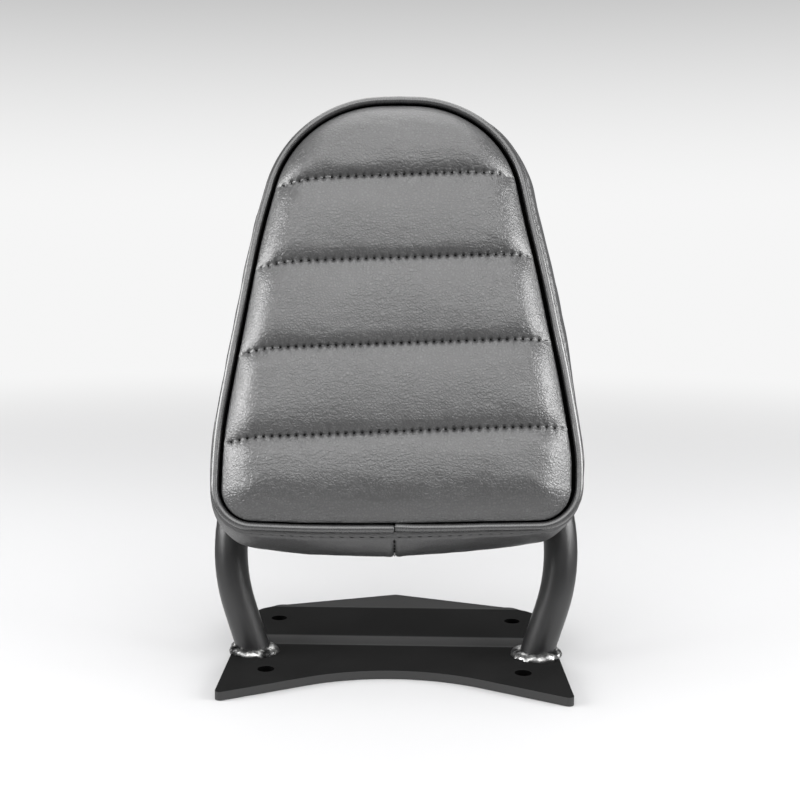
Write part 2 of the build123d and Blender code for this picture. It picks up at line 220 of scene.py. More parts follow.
# the pad's own coordinates: x across, up along the pad, out of its back
pad = {
    "lean": radians(20),
    "foot": Vector((0, 0.02448, 0.07759)),
    "height": 0.262, "halfWidth": 0.1055, "taper": radians(11.7), "topRadius": 0.260,
    "shoulderRadius": 0.071, "sideRadius": 0.440, "cornerRadius": 0.025, "bottomRadius": 2.6,
    "arcLengths": (0.081, 0.039, 0.090, 0.094, 0.070, 0.045),      # about, for half the outline
    "sideSwell": 0.005, "bottomSwell": 0.0112, "swollenBottomRadius": 0.7, "rim": 0.044,
    "sideAt": 0.08,         # how far across a side counts in full
    "sag": 0.0020,          # how far the lower left hangs below the right
    "sagFrom": 0.05, "sagOver": 0.10, "sagBelow": 0.13,
    # how far each side is drawn across (metres), at a height and over a spread
    "leftDraw": ((0.0016, 0.095, 0.035), (-0.0014, 0.178, 0.035), (0.0007, 0.018, 0.030)),
    "rightDraw": ((-0.0014, 0.105, 0.040), (0.0011, 0.042, 0.018), (-0.0009, 0.190, 0.030)),
}
padUp = Vector((0, sin(pad["lean"]), cos(pad["lean"])))
padFront = Vector((0, -cos(pad["lean"]), sin(pad["lean"])))


# 1 in the middle, dying out over a width
def hump(distance, width):
    return np.exp(-((distance / width) ** 2))


def drawAt(up, draws):
    return sum(size * hump(up - high, spread) for size, high, spread in draws)


def toWorld(x, up, out):
    x, up, out = np.broadcast_arrays(x, up, out)
    left = np.clip((pad["sagFrom"] - x) / pad["sagOver"], 0, 1)
    sag = pad["sag"] * left * np.clip(1 - up / pad["sagBelow"], 0, 1)
    draw = np.where(x < 0, drawAt(up, pad["leftDraw"]), drawAt(up, pad["rightDraw"]))
    place = np.zeros(x.shape + (3,))
    place[..., 0] = x + draw * np.clip(np.abs(x) / pad["sideAt"], 0, 1) ** 2
    for axis in (1, 2):
        place[..., axis] = pad["foot"][axis] + (up - sag) * padUp[axis] + out * padFront[axis]
    return place


# a closed loop of places and outward directions, from the bottom middle round by the right
def outline(swell, inset, spacing):
    grow = swell * pad["sideSwell"]
    half = pad["halfWidth"] + grow
    low = -swell * pad["bottomSwell"]
    high = pad["height"] + grow
    bottomR = 1 / ((1 - swell) / pad["bottomRadius"] + swell / pad["swollenBottomRadius"])
    cornerR = pad["cornerRadius"] + grow
    sideR = pad["sideRadius"] + grow
    shoulderR = pad["shoulderRadius"] + grow
    topR = pad["topRadius"] + grow
    taper = pad["taper"]
    cornerX = half - cornerR
    reach = bottomR - cornerR
    drop = sqrt(reach**2 - cornerX**2)
    cornerY = low + bottomR - drop
    bottomHalf = atan2(cornerX, drop)
    sideX = half - sideR
    outward = np.array((cos(taper), sin(taper)))
    along = np.array((-sin(taper), cos(taper)))
    sideEnd = np.array((sideX, cornerY)) + sideR * outward
    start = sideEnd - outward * shoulderR
    gap = start - np.array((0, high - topR))
    b = gap @ along
    run = -b + sqrt(b**2 - gap @ gap + (topR - shoulderR) ** 2)
    shoulder = start + along * run
    rise = shoulder - np.array((0, high - topR))
    topStart = atan2(rise[1], rise[0])
    arcs = (
        (0, low + bottomR, bottomR, -pi / 2, -pi / 2 + bottomHalf),
        (cornerX, cornerY, cornerR, -pi / 2 + bottomHalf, 0),
        (sideX, cornerY, sideR, 0, taper),
        None,
        (shoulder[0], shoulder[1], shoulderR, taper, topStart),
        (0, high - topR, topR, topStart, pi / 2),
    )
    places, outwards = [], []
    for arc, length in zip(arcs, pad["arcLengths"]):
        count = max(2, round(length / spacing))
        steps = np.arange(count) / count
        if arc is None:
            places.append(sideEnd + np.outer(steps, along) * run)
            outwards.append(np.tile(outward, (len(steps), 1)))
        else:
            x, y, radius, first, last = arc
            turn = first + steps * (last - first)
            ray = np.stack((np.cos(turn), np.sin(turn)), 1)
            places.append(np.array((x, y)) + radius * ray)
            outwards.append(ray)
    places.append(np.array(((0, high),)))
    outwards.append(np.array(((0, 1.0),)))
    right = np.concatenate(places)
    rightOut = np.concatenate(outwards)
    flip = np.array((-1, 1))
    loop = np.concatenate((right, right[-2:0:-1] * flip))
    loopOut = np.concatenate((rightOut, rightOut[-2:0:-1] * flip))
    return loop - loopOut * inset, loopOut


def pick(piece):
    bpy.ops.object.select_all(action="DESELECT")
    piece.select_set(True)
    bpy.context.view_layer.objects.active = piece


def smooth(piece, angle=None):
    pick(piece)
    if angle is None:
        bpy.ops.object.shade_smooth()
    else:
        bpy.ops.object.shade_smooth_by_angle(angle=radians(angle))
    piece.select_set(False)


def faceOutwards(piece):
    work = bmesh.new()
    work.from_mesh(piece.data)
    bmesh.ops.recalc_face_normals(work, faces=work.faces)
    work.to_mesh(piece.data)
    work.free()


def meshObject(name, places, faces, material):
    mesh = bpy.data.meshes.new(name)
    mesh.from_pydata([tuple(p) for p in places], [], faces)
    mesh.validate()
    mesh.update()
    piece = bpy.data.objects.new(name, mesh)
    scene.collection.objects.link(piece)
    piece.data.materials.append(material)
    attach(piece, "root")
    return piece


# vinyl grain: scales per metre, heights as shares of a material's depth
hide = {
    "warpScale": 210.0, "warp": 0.0024, "pebbleSlope": 3.0, "pebbleHeight": 0.42,
    "fineScale": 1300.0, "fineHeight": 0.16, "lineScale": 330.0,
    "lineStretch": (0.55, 1.0, 1.0), "lineSlope": 9.0,
    "patchScale": 26.0,     # the creases come in patches
    "patchFade": (0.36, 0.62), "patchShare": 0.75,
    # the grain's share of the tone carries its painted shade in hollows and crease lines
    "grainTone": 0.6,       # share of the grain in the tone, and the slow tone has the rest
    "cloudScale": 24.0, "coatRoughness": 0.40,
}


# shared effects: leather grain with creases, whose colour is darker in its hollows and crease lines
# (partly the vinyl's own tone, partly painted shade), and a slow uneven tone
def newGroup(name, inputs, outputs):
    tree = bpy.data.node_groups.new(name, "ShaderNodeTree")
    for label, value in inputs.items():
        kind = "NodeSocketVector" if isinstance(value, tuple) else "NodeSocketFloat"
        socket = tree.interface.new_socket(name=label, in_out="INPUT", socket_type=kind)
        socket.default_value = value
    for label in outputs:
        tree.interface.new_socket(name=label, in_out="OUTPUT", socket_type="NodeSocketFloat")
    return tree, tree.nodes.new("NodeGroupInput"), tree.nodes.new("NodeGroupOutput")


def makeGrain():
    inputs = {"Vector": (0, 0, 0), "Size": 0.0018, "Creases": 0.5}
    tree, given, out = newGroup("vinylGrain", inputs, ("Height", "Shade"))
    place, creases = given.outputs["Vector"], given.outputs["Creases"]
    warp = addNode(tree, "TexNoise", {"Vector": place}, Scale=hide["warpScale"], Detail=3.0)
    bend = addNode(
        tree, "VectorMath", {0: warp.outputs["Color"]}, operation="SCALE", Scale=hide["warp"]
    )
    both = {0: place, 1: bend.outputs[0]}
    moved = addNode(tree, "VectorMath", both, operation="ADD").outputs[0]
    cells = addNode(tree, "TexVoronoi", {"Vector": moved}, feature="DISTANCE_TO_EDGE")
    tree.links.new(maths(tree, "DIVIDE", 1.0, given.outputs["Size"]), cells.inputs["Scale"])
    pebble = times(tree, cells.outputs["Distance"], hide["pebbleSlope"])
    pebble = maths(tree, "MINIMUM", pebble, 1.0)
    fine = noiseAt(tree, moved, hide["fineScale"], 2.0)
    stretch = addNode(tree, "Mapping", {"Vector": moved}, Scale=hide["lineStretch"])
    line = noiseAt(tree, stretch.outputs[0], hide["lineScale"], 2.0)
    line = maths(tree, "ABSOLUTE", maths(tree, "SUBTRACT", line, 0.5))
    line = maths(tree, "MINIMUM", times(tree, line, hide["lineSlope"]), 1.0)
    patch = rangeOf(tree, noiseAt(tree, place, hide["patchScale"], 2.0), hide["patchFade"])
    share = times(tree, patch.outputs[0], hide["patchShare"])
    share = times(tree, share, creases)
    share = maths(tree, "ADD", share, times(tree, creases, 1 - hide["patchShare"]))
    height = times(tree, pebble, hide["pebbleHeight"])
    height = maths(tree, "ADD", height, times(tree, fine, hide["fineHeight"]))
    height = maths(tree, "ADD", height, times(tree, line, share))
    tree.links.new(height, out.inputs["Height"])
    # the grain's colour is darker in the hollows between pebbles and along crease lines: partly the
    # vinyl's own tone, partly painted shade
    creaseShade = maths(tree, "ADD", times(tree, line, 0.5), 0.5)
    tree.links.new(times(tree, pebble, creaseShade), out.inputs["Shade"])
    return tree


def makeMottle():
    tree, given, out = newGroup("mottle", {"Vector": (0, 0, 0), "Scale": 20.0}, ("Value",))
    links = {key: given.outputs[key] for key in ("Vector", "Scale")}
    cloud = addNode(tree, "TexNoise", links, Detail=4.0)
    tree.links.new(cloud.outputs[0], out.inputs["Value"])
    return tree


grainGroup = makeGrain()
mottleGroup = makeMottle()


def placeGroup(tree, group, place, **values):
    return addNode(tree, "Group", {"Vector": place}, node_tree=group, **values)


def colourRamp(tree, source, stops):
    ramp = addNode(tree, "ValToRGB", {0: source})
    elements = ramp.color_ramp.elements
    while len(elements) < len(stops):
        elements.new(0.5)
    for element, (place, value) in zip(elements, stops):
        element.position = place
        element.color = rgba(value)
    return ramp.outputs[0]


# a colour or a value that follows a slow tone from its dark end to its light end
def toned(tree, source, dark, light):
    return colourRamp(tree, source, ((0.3, dark), (0.7, light)))


def bump(tree, shader, height, distance, strength=1.0):
    node = addNode(tree, "Bump", {"Height": height}, Distance=distance, Strength=strength)
    tree.links.new(node.outputs[0], shader.inputs["Normal"])


def vinylMaterial(name, dark, light, roughness, grainSize, creases, depth, specular, coat=0.0):
    material, tree, shader, where = newMaterial(name, specular)
    grain = placeGroup(tree, grainGroup, where, Size=grainSize, Creases=creases)
    cloud = placeGroup(tree, mottleGroup, where, Scale=hide["cloudScale"])
    # the base colour follows the grain's partly painted shade and the slow tone
    tone = times(tree, grain.outputs["Shade"], hide["grainTone"])
    slow = times(tree, cloud.outputs[0], 1 - hide["grainTone"])
    tone = maths(tree, "ADD", tone, slow)
    tree.links.new(colourRamp(tree, tone, ((0.0, dark), (1.0, light))), shader.inputs["Base Color"])
    rough = colourRamp(tree, tone, ((0.0, roughness[1]), (1.0, roughness[0])))
    tree.links.new(rough, shader.inputs["Roughness"])
    shader.inputs["Coat Weight"].default_value = coat      # the clear top coat of the vinyl
    shader.inputs["Coat Roughness"].default_value = hide["coatRoughness"]
    bump(tree, shader, grain.outputs["Height"], depth)
    return material


# painted light: the plate's upright faces (cut edges, ramp and lip) are coloured greyer where the
# front lamps catch them; painted shade: its bolt hole walls are coloured near black
plateLightAndShade = {
    # painted light: the greyer colour given to upright faces
    "colour": 0.052,
    "upright": (0.997, 0.95),       # the normal's height, from flat to cut edge
    "paintedHoleShade": 0.001, "holeAcross": 0.075,
    "holeAlong": 0.0425,    # the first pair is at Y = 0
    "holeReach": 0.0062,
}


def paintedEdgeLightAndHoleShade(tree, where, colour):
    normal = addNode(tree, "TexCoord").outputs["Normal"]
    parts = addNode(tree, "SeparateXYZ", {0: normal})
    # how upright a face is sets its share of painted light
    side = rangeOf(tree, maths(tree, "ABSOLUTE", parts.outputs["Z"]), plateLightAndShade["upright"], "LINEAR")
    spot = addNode(tree, "SeparateXYZ", {0: where})
    holeX = maths(tree, "SUBTRACT", maths(tree, "ABSOLUTE", spot.outputs["X"]), plateLightAndShade["holeAcross"])
    holeY = maths(tree, "ABSOLUTE", maths(tree, "SUBTRACT", spot.outputs["Y"], plateLightAndShade["holeAlong"]))
    holeY = maths(tree, "SUBTRACT", holeY, plateLightAndShade["holeAlong"])
    holeX, holeY = times(tree, holeX, holeX), times(tree, holeY, holeY)
    clear = maths(tree, "GREATER_THAN", maths(tree, "ADD", holeX, holeY), plateLightAndShade["holeReach"] ** 2)
    # near the holes the upright walls get painted shade, elsewhere painted light
    holeShadeShare = times(tree, side.outputs[0], maths(tree, "SUBTRACT", 1.0, clear))
    colour = mixColours(tree, holeShadeShare, colour, plateLightAndShade["paintedHoleShade"])
    return mixColours(tree, times(tree, side.outputs[0], clear), colour, plateLightAndShade["colour"])


# powder coat: peel and a slow tone, with the plate's painted edge light and hole shade where asked
def coatMaterial(name, dark, light, roughness, specular, paintEdgeLightAndHoleShade=False):
    material, tree, shader, where = newMaterial(name, specular)
    peel = noiseAt(tree, where, 900.0, 3.0)
    cloud = placeGroup(tree, mottleGroup, where, Scale=30.0).outputs[0]
    colour = toned(tree, cloud, dark, light)
    if paintEdgeLightAndHoleShade:
        colour = paintedEdgeLightAndHoleShade(tree, where, colour)
    tree.links.new(colour, shader.inputs["Base Color"])
    tree.links.new(toned(tree, cloud, *roughness), shader.inputs["Roughness"])
    bump(tree, shader, peel, 0.00012, 0.5)
    return material


def weldMaterial():
    material, tree, shader, where = newMaterial("bareWeld", metallic=1.0)
    soot = noiseAt(tree, where, 120.0, 4.0, roughness=0.6)
    metal = ((0.40, 0.02), (0.49, 0.20), (0.60, (0.52, 0.52, 0.51)))
    tree.links.new(colourRamp(tree, soot, metal), shader.inputs["Base Color"])
    tree.links.new(colourRamp(tree, soot, ((0.36, 0.55), (0.6, 0.30))), shader.inputs["Roughness"])
    bump(tree, shader, noiseAt(tree, where, 520.0, 3.0), 0.00022)
    return material


def plainMaterial(name, dark, light, roughness, metallic=0.0, fine=900.0, depth=0.00008, specular=0.5):
    material, tree, shader, where = newMaterial(name, specular, metallic)
    cloud = placeGroup(tree, mottleGroup, where, Scale=40.0).outputs[0]
    tree.links.new(toned(tree, cloud, dark, light), shader.inputs["Base Color"])
    tree.links.new(toned(tree, cloud, *roughness), shader.inputs["Roughness"])
    bump(tree, shader, noiseAt(tree, where, fine, 3.0), depth)
    return material


def boardMaterial():
    material, tree, shader, where = newMaterial("plywood")
    # fibres run across the board
    squeeze = addNode(tree, "Mapping", {"Vector": where}, Scale=(12, 260, 260))
    fibre = noiseAt(tree, squeeze.outputs[0], 1.0, 5.0)
    wood = toned(tree, fibre, (0.30, 0.19, 0.10), (0.52, 0.37, 0.22))
    tree.links.new(wood, shader.inputs["Base Color"])
    shader.inputs["Roughness"].default_value = 0.7
    bump(tree, shader, fibre, 0.0001)
    return material


panelVinyl = vinylMaterial(
    "panelVinyl", (0.018, 0.018, 0.0185), (0.074, 0.074, 0.075), (0.36, 0.45),
    grainSize=0.0018, creases=0.50, depth=0.00034, specular=1.0, coat=0.7,
)
bandVinyl = vinylMaterial(
    "bandVinyl", (0.044, 0.044, 0.045), (0.072, 0.072, 0.073), (0.34, 0.42),
    grainSize=0.0015, creases=0.25, depth=0.00018, specular=0.9,
)
weltVinyl = vinylMaterial(
    "weltVinyl", (0.028, 0.028, 0.0285), (0.042, 0.042, 0.043), (0.24, 0.30),
    grainSize=0.0012, creases=0.1, depth=0.00005, specular=1.0, coat=0.7,
)
tubeCoat = coatMaterial(
    "tubeCoat", (0.008, 0.008, 0.0085), (0.012, 0.012, 0.0125), (0.32, 0.40), specular=0.8
)
plateCoat = coatMaterial("plateCoat", 0.009, 0.013, (0.74, 0.84), specular=0.04, paintEdgeLightAndHoleShade=True)
bareWeld = weldMaterial()
zinc = plainMaterial("zincPlate", (0.50, 0.51, 0.53), (0.66, 0.67, 0.69), (0.28, 0.40), metallic=1.0)
backingSheet = plainMaterial(
    "backingSheet", (0.022, 0.022, 0.023), (0.036, 0.036, 0.038), (0.62, 0.75),
    fine=1400.0, depth=0.0002,
)
foam = plainMaterial(
    "foam", (0.42, 0.40, 0.34), (0.55, 0.52, 0.45), (0.85, 0.95), fine=2200.0, depth=0.0005
)
thread = plainMaterial(
    "thread", 0.003, 0.006, (0.6, 0.7), fine=3000.0, depth=0.0001, specular=0.15
)
greyThread = plainMaterial("greyThread", 0.30, 0.42, (0.5, 0.6), fine=3000.0, depth=0.0001)
# painted shade: a near-black material for faces down in the groove between the panel and the welt,
# where only shadow falls
paintedGrooveShade = plainMaterial("paintedGrooveShade", 0.0015, 0.003, (0.85, 0.95), fine=1500.0, specular=0.05)
plywood = boardMaterial()

finishes = (
    (plateCoat, "base_plate"),
    (tubeCoat, "hoop_tube lower_crossbar upper_crossbar lower_crossbar_welds upper_crossbar_welds"),
    (bareWeld, "foot_weld_left foot_weld_right"),
    (plywood, "base_board"),
    (foam, "foam_core"),
    (panelVinyl, "front_cover"),
    (weltVinyl, "piping"),
    (bandVinyl, "side_boxing"),
    (backingSheet, "rear_cover"),
    (zinc, "rear_cover_staples tee_nuts mounting_screws washers lock_washers"),
)
for finish, names in finishes:
    for name in names.split():
        slots = nodes[name].data.materials
        slots.clear()
        slots.append(finish)
print("finishes given to the solid pieces")

# rolled front panel
panel = {
    "inset": 0.0066,        # from the outer edge of the welt to the panel's edge
    "lowInset": -0.0012,    # and how much less at the bottom
    "rightInset": 0.0004, "edgeStep": 0.0005,
    "snap": 0.4,            # share of a column within which a point moves to the edge
    "firstSeam": 0.0558, "pitch": 0.0510, "seams": 4, "slant": radians(2.1),
    "edgeOut": 0.0014,      # panel edge against the welt's plane
    "dome": 0.0068, "domeReach": 0.0210, "domePower": 2.6,
    "lowerReach": 0.60,     # how much longer the dome runs at the bottom edge
    "lowerOver": 0.044, "crown": 0.0012, "crownReach": 0.055, "crownPower": 2.0, "roll": 0.0066,
    "rollReach": 0.0210, "rollHalf": 0.026, "rollPower": 4.0, "column": 0.00062, "row": 0.0013,
    "seamRows": 18,         # from a seam to the middle of a roll
    "seamCrowd": 0.30,      # how close the first of them stand, as a share of even rows
    "overrun": 0.008, "sheetHalf": 0.112,
    # the seams dip where they run out to the welt, most at the top left
    "dip": 0.0008, "highDip": 0.0010, "leftDip": 0.0014, "highFrom": 0.16, "highOver": 0.04,
    "dipReach": 0.013, "highReach": 0.004,
    # uneven stuffing: height, scale and seed
    "lumps": ((0.00040, 28.0, 3.1), (0.00016, 80.0, 8.4)),
    "endReach": 0.010, "crease": 0.00055, "creaseReach": 0.0075, "creaseFrom": 0.0025,
    "creaseNoise": (105.0, 5.7), "stitchPitch": 0.0047, "stitchLength": 0.0026,
    "stitchOut": 0.0005,
    "stitchTurn": 0.35,     # each stitch lies askew to its seam
    "halfRow": 24,
    "plainEnd": 0.0042,     # the seams have no stitches this near the edge
    "plainBlend": 0.002, "pit": 0.0013, "pitSize": 0.0009, "pitUp": 0.0002, "pitTall": 0.0011,
    "lift": 0.00040,        # the hide stands up between two stitches
    "liftDown": 0.0012, "liftTall": 0.0013,
    "line": 0.0007,         # the fold where a seam has no stitch
    "lineHalf": 0.0006, "lineFrom": 0.002, "skirt": (0.0012, 0.0055), "skirtSlope": 0.4,
    "merge": 0.00004,
    "startRoll": 0.65,      # how much of the rolls is shaped before the cloth swells
    "clothGrid": 0.0042, "clothBack": (0.006, 0.008), "clothMerge": 0.0005,
    "clothRim": 0.0035,     # held below this height over the rim
    "clothSeam": 0.6,       # and this near a seam, in grids
    "clothFrames": 20, "clothPressure": 4.0, "clothMass": 0.0001, "clothCap": 0.0024,
    "clothEnds": (0.004, 0.008),    # the swell dies out this near a seam and the edge
    "lookFrom": 0.1,
}
seamHeights = panel["firstSeam"] + panel["pitch"] * np.arange(panel["seams"])


# rows close together at the seams and wider on the rolls
def panelRows():
    half = panel["pitch"] / 2
    share = np.linspace(0, 1, panel["seamRows"])
    climb = half * (panel["seamCrowd"] * share + (1 - panel["seamCrowd"]) * share**2)
    rows = set()
    for seam in seamHeights:
        rows.update(np.round(seam + climb, 6))
        rows.update(np.round(seam - climb, 6))
    low, high = min(rows), max(rows)
    step, beyond = panel["row"], panel["overrun"]
    rows.update(np.round(np.arange(low - step, -beyond, -step), 6))
    rows.update(np.round(np.arange(high + step, pad["height"] + beyond, step), 6))
    return np.array(sorted(rows))


def panelColumns(step):
    return np.arange(-panel["sheetHalf"], panel["sheetHalf"], step)


def fall(distance, reach, power):
    share = np.clip(distance / reach, 0, 1)
    return 1 - (1 - share) ** power


def wobble(x, y, scale, seed):
    x, y = np.broadcast_arrays(x, y)
    flat = [noise.noise(Vector((a * scale, b * scale, seed))) for a, b in zip(x.ravel(), y.ravel())]
    return np.array(flat).reshape(x.shape)


# the panel's edge and its outward directions
def panelEdge():
    loop, out = outline(0, 0, panel["edgeStep"])
    inset = panel["inset"] + panel["lowInset"] * np.clip(-out[:, 1], 0, 1)
    inset += panel["rightInset"] * np.clip(out[:, 0], 0, 1)
    return loop - out * inset[:, None], out


def seamDip(x, up, inside):
    high = np.clip((up - panel["highFrom"]) / panel["highOver"], 0, 1)
    left = np.clip(0.5 - x / pad["sideAt"], 0, 1)
    size = panel["dip"] + panel["highDip"] * high + panel["leftDip"] * left
    return size * hump(inside, panel["dipReach"] + panel["highReach"] * high)


# which seam is nearest, and how far up from it a place is
def seamGap(x, up, level, inside):
    gap = (level + seamDip(x, up, inside))[..., None] - seamHeights
    seam = np.argmin(np.abs(gap), axis=-1)
    return seam, np.take_along_axis(gap, seam[..., None], axis=-1)[..., 0]


# the stuffed form: an edge turned down to the welt, a slight crown, and rolls between the seams
def panelForm(x, up, level, inside, rollShare):
    nearest = np.abs(seamGap(x, up, level, inside)[1])
    swell = fall(nearest, panel["rollHalf"], panel["rollPower"])
    longer = 1 + panel["lowerReach"] * hump(up, panel["lowerOver"])
    out = pad["rim"] + panel["edgeOut"]
    out += panel["dome"] * fall(inside, panel["domeReach"] * longer, panel["domePower"])
    out += panel["crown"] * fall(inside, panel["crownReach"], panel["crownPower"])
    rise = fall(inside, panel["rollReach"] * longer, panel["domePower"])
    return out + rollShare * panel["roll"] * rise * swell


# what the sewing and the hide add: uneven stuffing, puckers, a crease and a pit at each stitch
def panelDetail(x, up, level, inside):
    seam, away = seamGap(x, up, level, inside)
    nearest = np.abs(away)
    along = x * cos(panel["slant"]) + up * sin(panel["slant"])
    ends = fall(inside, panel["endReach"], 1.5)
    out = sum(size * wobble(x, up, scale, seed) for size, scale, seed in panel["lumps"]) * ends
    crease = wobble(along * 1.7, nearest * 0.30 + seam * 0.31, *panel["creaseNoise"])
    crease = panel["crease"] * crease * hump(nearest, panel["creaseReach"])
    out += crease * fall(nearest, panel["creaseFrom"], 1.0) * ends
    phase = (along / panel["stitchPitch"]) % 1 - 0.5
    blend = panel["plainBlend"]
    sewn = np.clip((inside - panel["plainEnd"] + blend / 2) / blend, 0, 1)
    across = (phase * panel["stitchPitch"] / panel["pitSize"]) ** 2
    pit = np.exp(-across - (((away - panel["pitUp"]) / panel["pitTall"]) ** 2))
    lift = np.cos(2 * pi * phase) * hump(away + panel["liftDown"], panel["liftTall"])
    line = panel["line"] * hump(away, panel["lineHalf"])
    line = line * fall(inside, panel["lineFrom"], 1.0) * (1 - sewn)
    return out - (panel["pit"] * pit + panel["lift"] * lift) * sewn - line


# the places of a grid laid along the slanted seams and trimmed to the panel's edge
def panelSheet(rows, columns):
    across, level = np.meshgrid(columns, rows)
    turn = panel["slant"]
    x = (across * cos(turn) - level * sin(turn)).ravel()
    up = (across * sin(turn) + level * cos(turn)).ravel()
    edge, edgeOut = panelEdge()
    tree = KDTree(len(edge))
    for index, (a, b) in enumerate(edge):
        tree.insert((a, b, 0), index)
    tree.balance()
    hits = np.array([tree.find((a, b, 0))[1] for a, b in zip(x, up)])
    inside = np.einsum("ij,ij->i", edge[hits] - np.stack((x, up), 1), edgeOut[hits])
    width = len(columns)
    snap = inside < panel["snap"] * (columns[1] - columns[0])
    kept = []
    for row in range(len(rows) - 1):
        for column in range(width - 1):
            corner = row * width + column
            quad = (corner, corner + 1, corner + width + 1, corner + width)
            if not (snap[quad[0]] and snap[quad[1]] and snap[quad[2]] and snap[quad[3]]):
                kept.append(quad)
    x[snap] = edge[hits[snap], 0]
    up[snap] = edge[hits[snap], 1]
    inside[snap] = 0
    used = np.array(sorted({i for quad in kept for i in quad}))
    order = {old: new for new, old in enumerate(used)}
    x, up, inside = x[used], up[used], inside[used]
    faces = [tuple(order[i] for i in quad) for quad in kept]
    return x, up, inside, up * cos(turn) - x * sin(turn), faces


# a turned-down rim and a flat back close the sheet
def closeBack(piece, drops, merge):
    work = bmesh.new()
    work.from_mesh(piece.data)
    bmesh.ops.remove_doubles(work, verts=work.verts, dist=merge)
    rim = [e for e in work.edges if e.is_boundary]
    for drop in drops:
        made = bmesh.ops.extrude_edge_only(work, edges=rim)
        for vertex in made["geom"]:
            if isinstance(vertex, bmesh.types.BMVert):
                vertex.co -= padFront * drop
        rim = [e for e in made["geom"] if isinstance(e, bmesh.types.BMEdge)]
    bmesh.ops.holes_fill(work, edges=[e for e in work.edges if e.is_boundary], sides=0)
    bmesh.ops.recalc_face_normals(work, faces=work.faces)
    work.to_mesh(piece.data)
    work.free()


def padPlace(point):
    away = Vector(point) - pad["foot"]
    return away.dot(padUp), away.dot(padFront)


# how far cloth under pressure swells out of the coarse form, held at its edge and seams
def clothSwell(x, up):
    grid = panel["clothGrid"]
    rows = np.arange(-panel["overrun"], pad["height"] + panel["overrun"], grid)
    cx, cup, inside, level, faces = panelSheet(rows, panelColumns(grid))
    form = toWorld(cx, cup, panelForm(cx, cup, level, inside, panel["startRoll"]))
    coarse = meshObject("coarsePad", form, faces, foam)
    closeBack(coarse, panel["clothBack"], panel["clothMerge"])
    pick(coarse)
    remesh = coarse.modifiers.new("remesh", "REMESH")
    remesh.mode = "VOXEL"
    remesh.voxel_size = grid
    bpy.ops.object.modifier_apply(modifier="remesh")
    start = [vertex.co.copy() for vertex in coarse.data.vertices]
    shell = [tuple(face.vertices) for face in coarse.data.polygons]
    before = BVHTree.FromPolygons(start, shell)
    sewn = coarse.vertex_groups.new(name="sewn")
    for vertex in coarse.data.vertices:
        high, out = padPlace(vertex.co)
        row = high * cos(panel["slant"]) - vertex.co.x * sin(panel["slant"])
        nearSeam = np.min(np.abs(seamHeights - row)) < panel["clothSeam"] * grid
        if out < pad["rim"] + panel["clothRim"] or nearSeam:
            sewn.add([vertex.index], 1.0, "REPLACE")
    cloth = coarse.modifiers.new("cloth", "CLOTH")
    cloth.settings.quality = 6
    cloth.settings.mass = panel["clothMass"]
    cloth.settings.use_pressure = True
    cloth.settings.uniform_pressure_force = panel["clothPressure"]
    cloth.settings.effector_weights.gravity = 0
    cloth.settings.vertex_group_mass = "sewn"
    cloth.collision_settings.use_collision = False
    for step in range(1, panel["clothFrames"] + 1):
        scene.frame_set(step)
    shaped = coarse.evaluated_get(bpy.context.evaluated_depsgraph_get()).to_mesh()
    moves = [vertex.co - first for vertex, first in zip(shaped.vertices, start)]
    longest = max(move.length for move in moves)
    cap = panel["clothCap"]
    ends = [first + move * min(1.0, cap / max(move.length, 1e-9)) for first, move in zip(start, moves)]
    print("cloth moved", round(longest * 1000, 3), "mm at most")
    after = BVHTree.FromPolygons(ends, shell)
    scene.frame_set(1)
    bpy.data.objects.remove(coarse)
    swell = np.zeros(len(x))
    for index, place in enumerate(toWorld(x, up, pad["rim"] + panel["lookFrom"])):
        first = before.ray_cast(Vector(place), -padFront)[3]
        last = after.ray_cast(Vector(place), -padFront)[3]
        if first is not None and last is not None:
            swell[index] = first - last
    return swell


def makePanel():
    x, up, inside, level, faces = panelSheet(panelRows(), panelColumns(panel["column"]))
    out = panelForm(x, up, level, inside, panel["startRoll"])
    away = np.abs(seamGap(x, up, level, inside)[1])
    seamEnd, edgeEnd = panel["clothEnds"]
    out += clothSwell(x, up) * fall(away, seamEnd, 1.5) * fall(inside, edgeEnd, 1.5)
    places = toWorld(x, up, out + panelDetail(x, up, level, inside))
    piece = meshObject("rolledPanel", places, faces, panelVinyl)
    closeBack(piece, panel["skirt"], panel["merge"])
    piece.data.materials.append(paintedGrooveShade)
    # the steep skirt faces down in the groove get the painted shade material
    for face in piece.data.polygons:
        steep = abs(face.normal.dot(padFront)) < panel["skirtSlope"]
        if steep and padPlace(face.center)[1] < pad["rim"] + panel["edgeOut"]:
            face.material_index = 1     # the skirt, down in the groove
    smooth(piece, 50)
    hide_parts("front_cover", "foam_core")
    return piece


rolledPanel = makePanel()
print("rolled panel:", len(rolledPanel.data.polygons), "faces")

# threads: one stitch as a small bowed roll lying along X, then copied to each place
stitch = {"radius": 0.00054, "tip": 0.55, "bow": 0.45, "rings": 5, "sides": 6, "sink": 0.00035}


def stitchShape(length):
    places, faces = [], []
    rings, sides = stitch["rings"], stitch["sides"]
    for ring in range(rings):
        share = ring / (rings - 1)
        bow = sin(pi * share)
        radius = stitch["radius"] * (stitch["tip"] + stitch["bow"] * bow)
        sink = stitch["sink"] * (bow - 1)
        for side in range(sides):
            turn = 2 * pi * side / sides
            places.append((length * (share - 0.5), radius * cos(turn), radius * sin(turn) + sink))
    for ring in range(rings - 1):
        for side in range(sides):
            a, b = ring * sides + side, ring * sides + (side + 1) % sides
            faces.append((a, a + sides, b + sides, b))
    faces.append(tuple(range(sides)))
    faces.append(tuple(range(rings * sides - 1, (rings - 1) * sides - 1, -1)))
    return np.array(places), faces


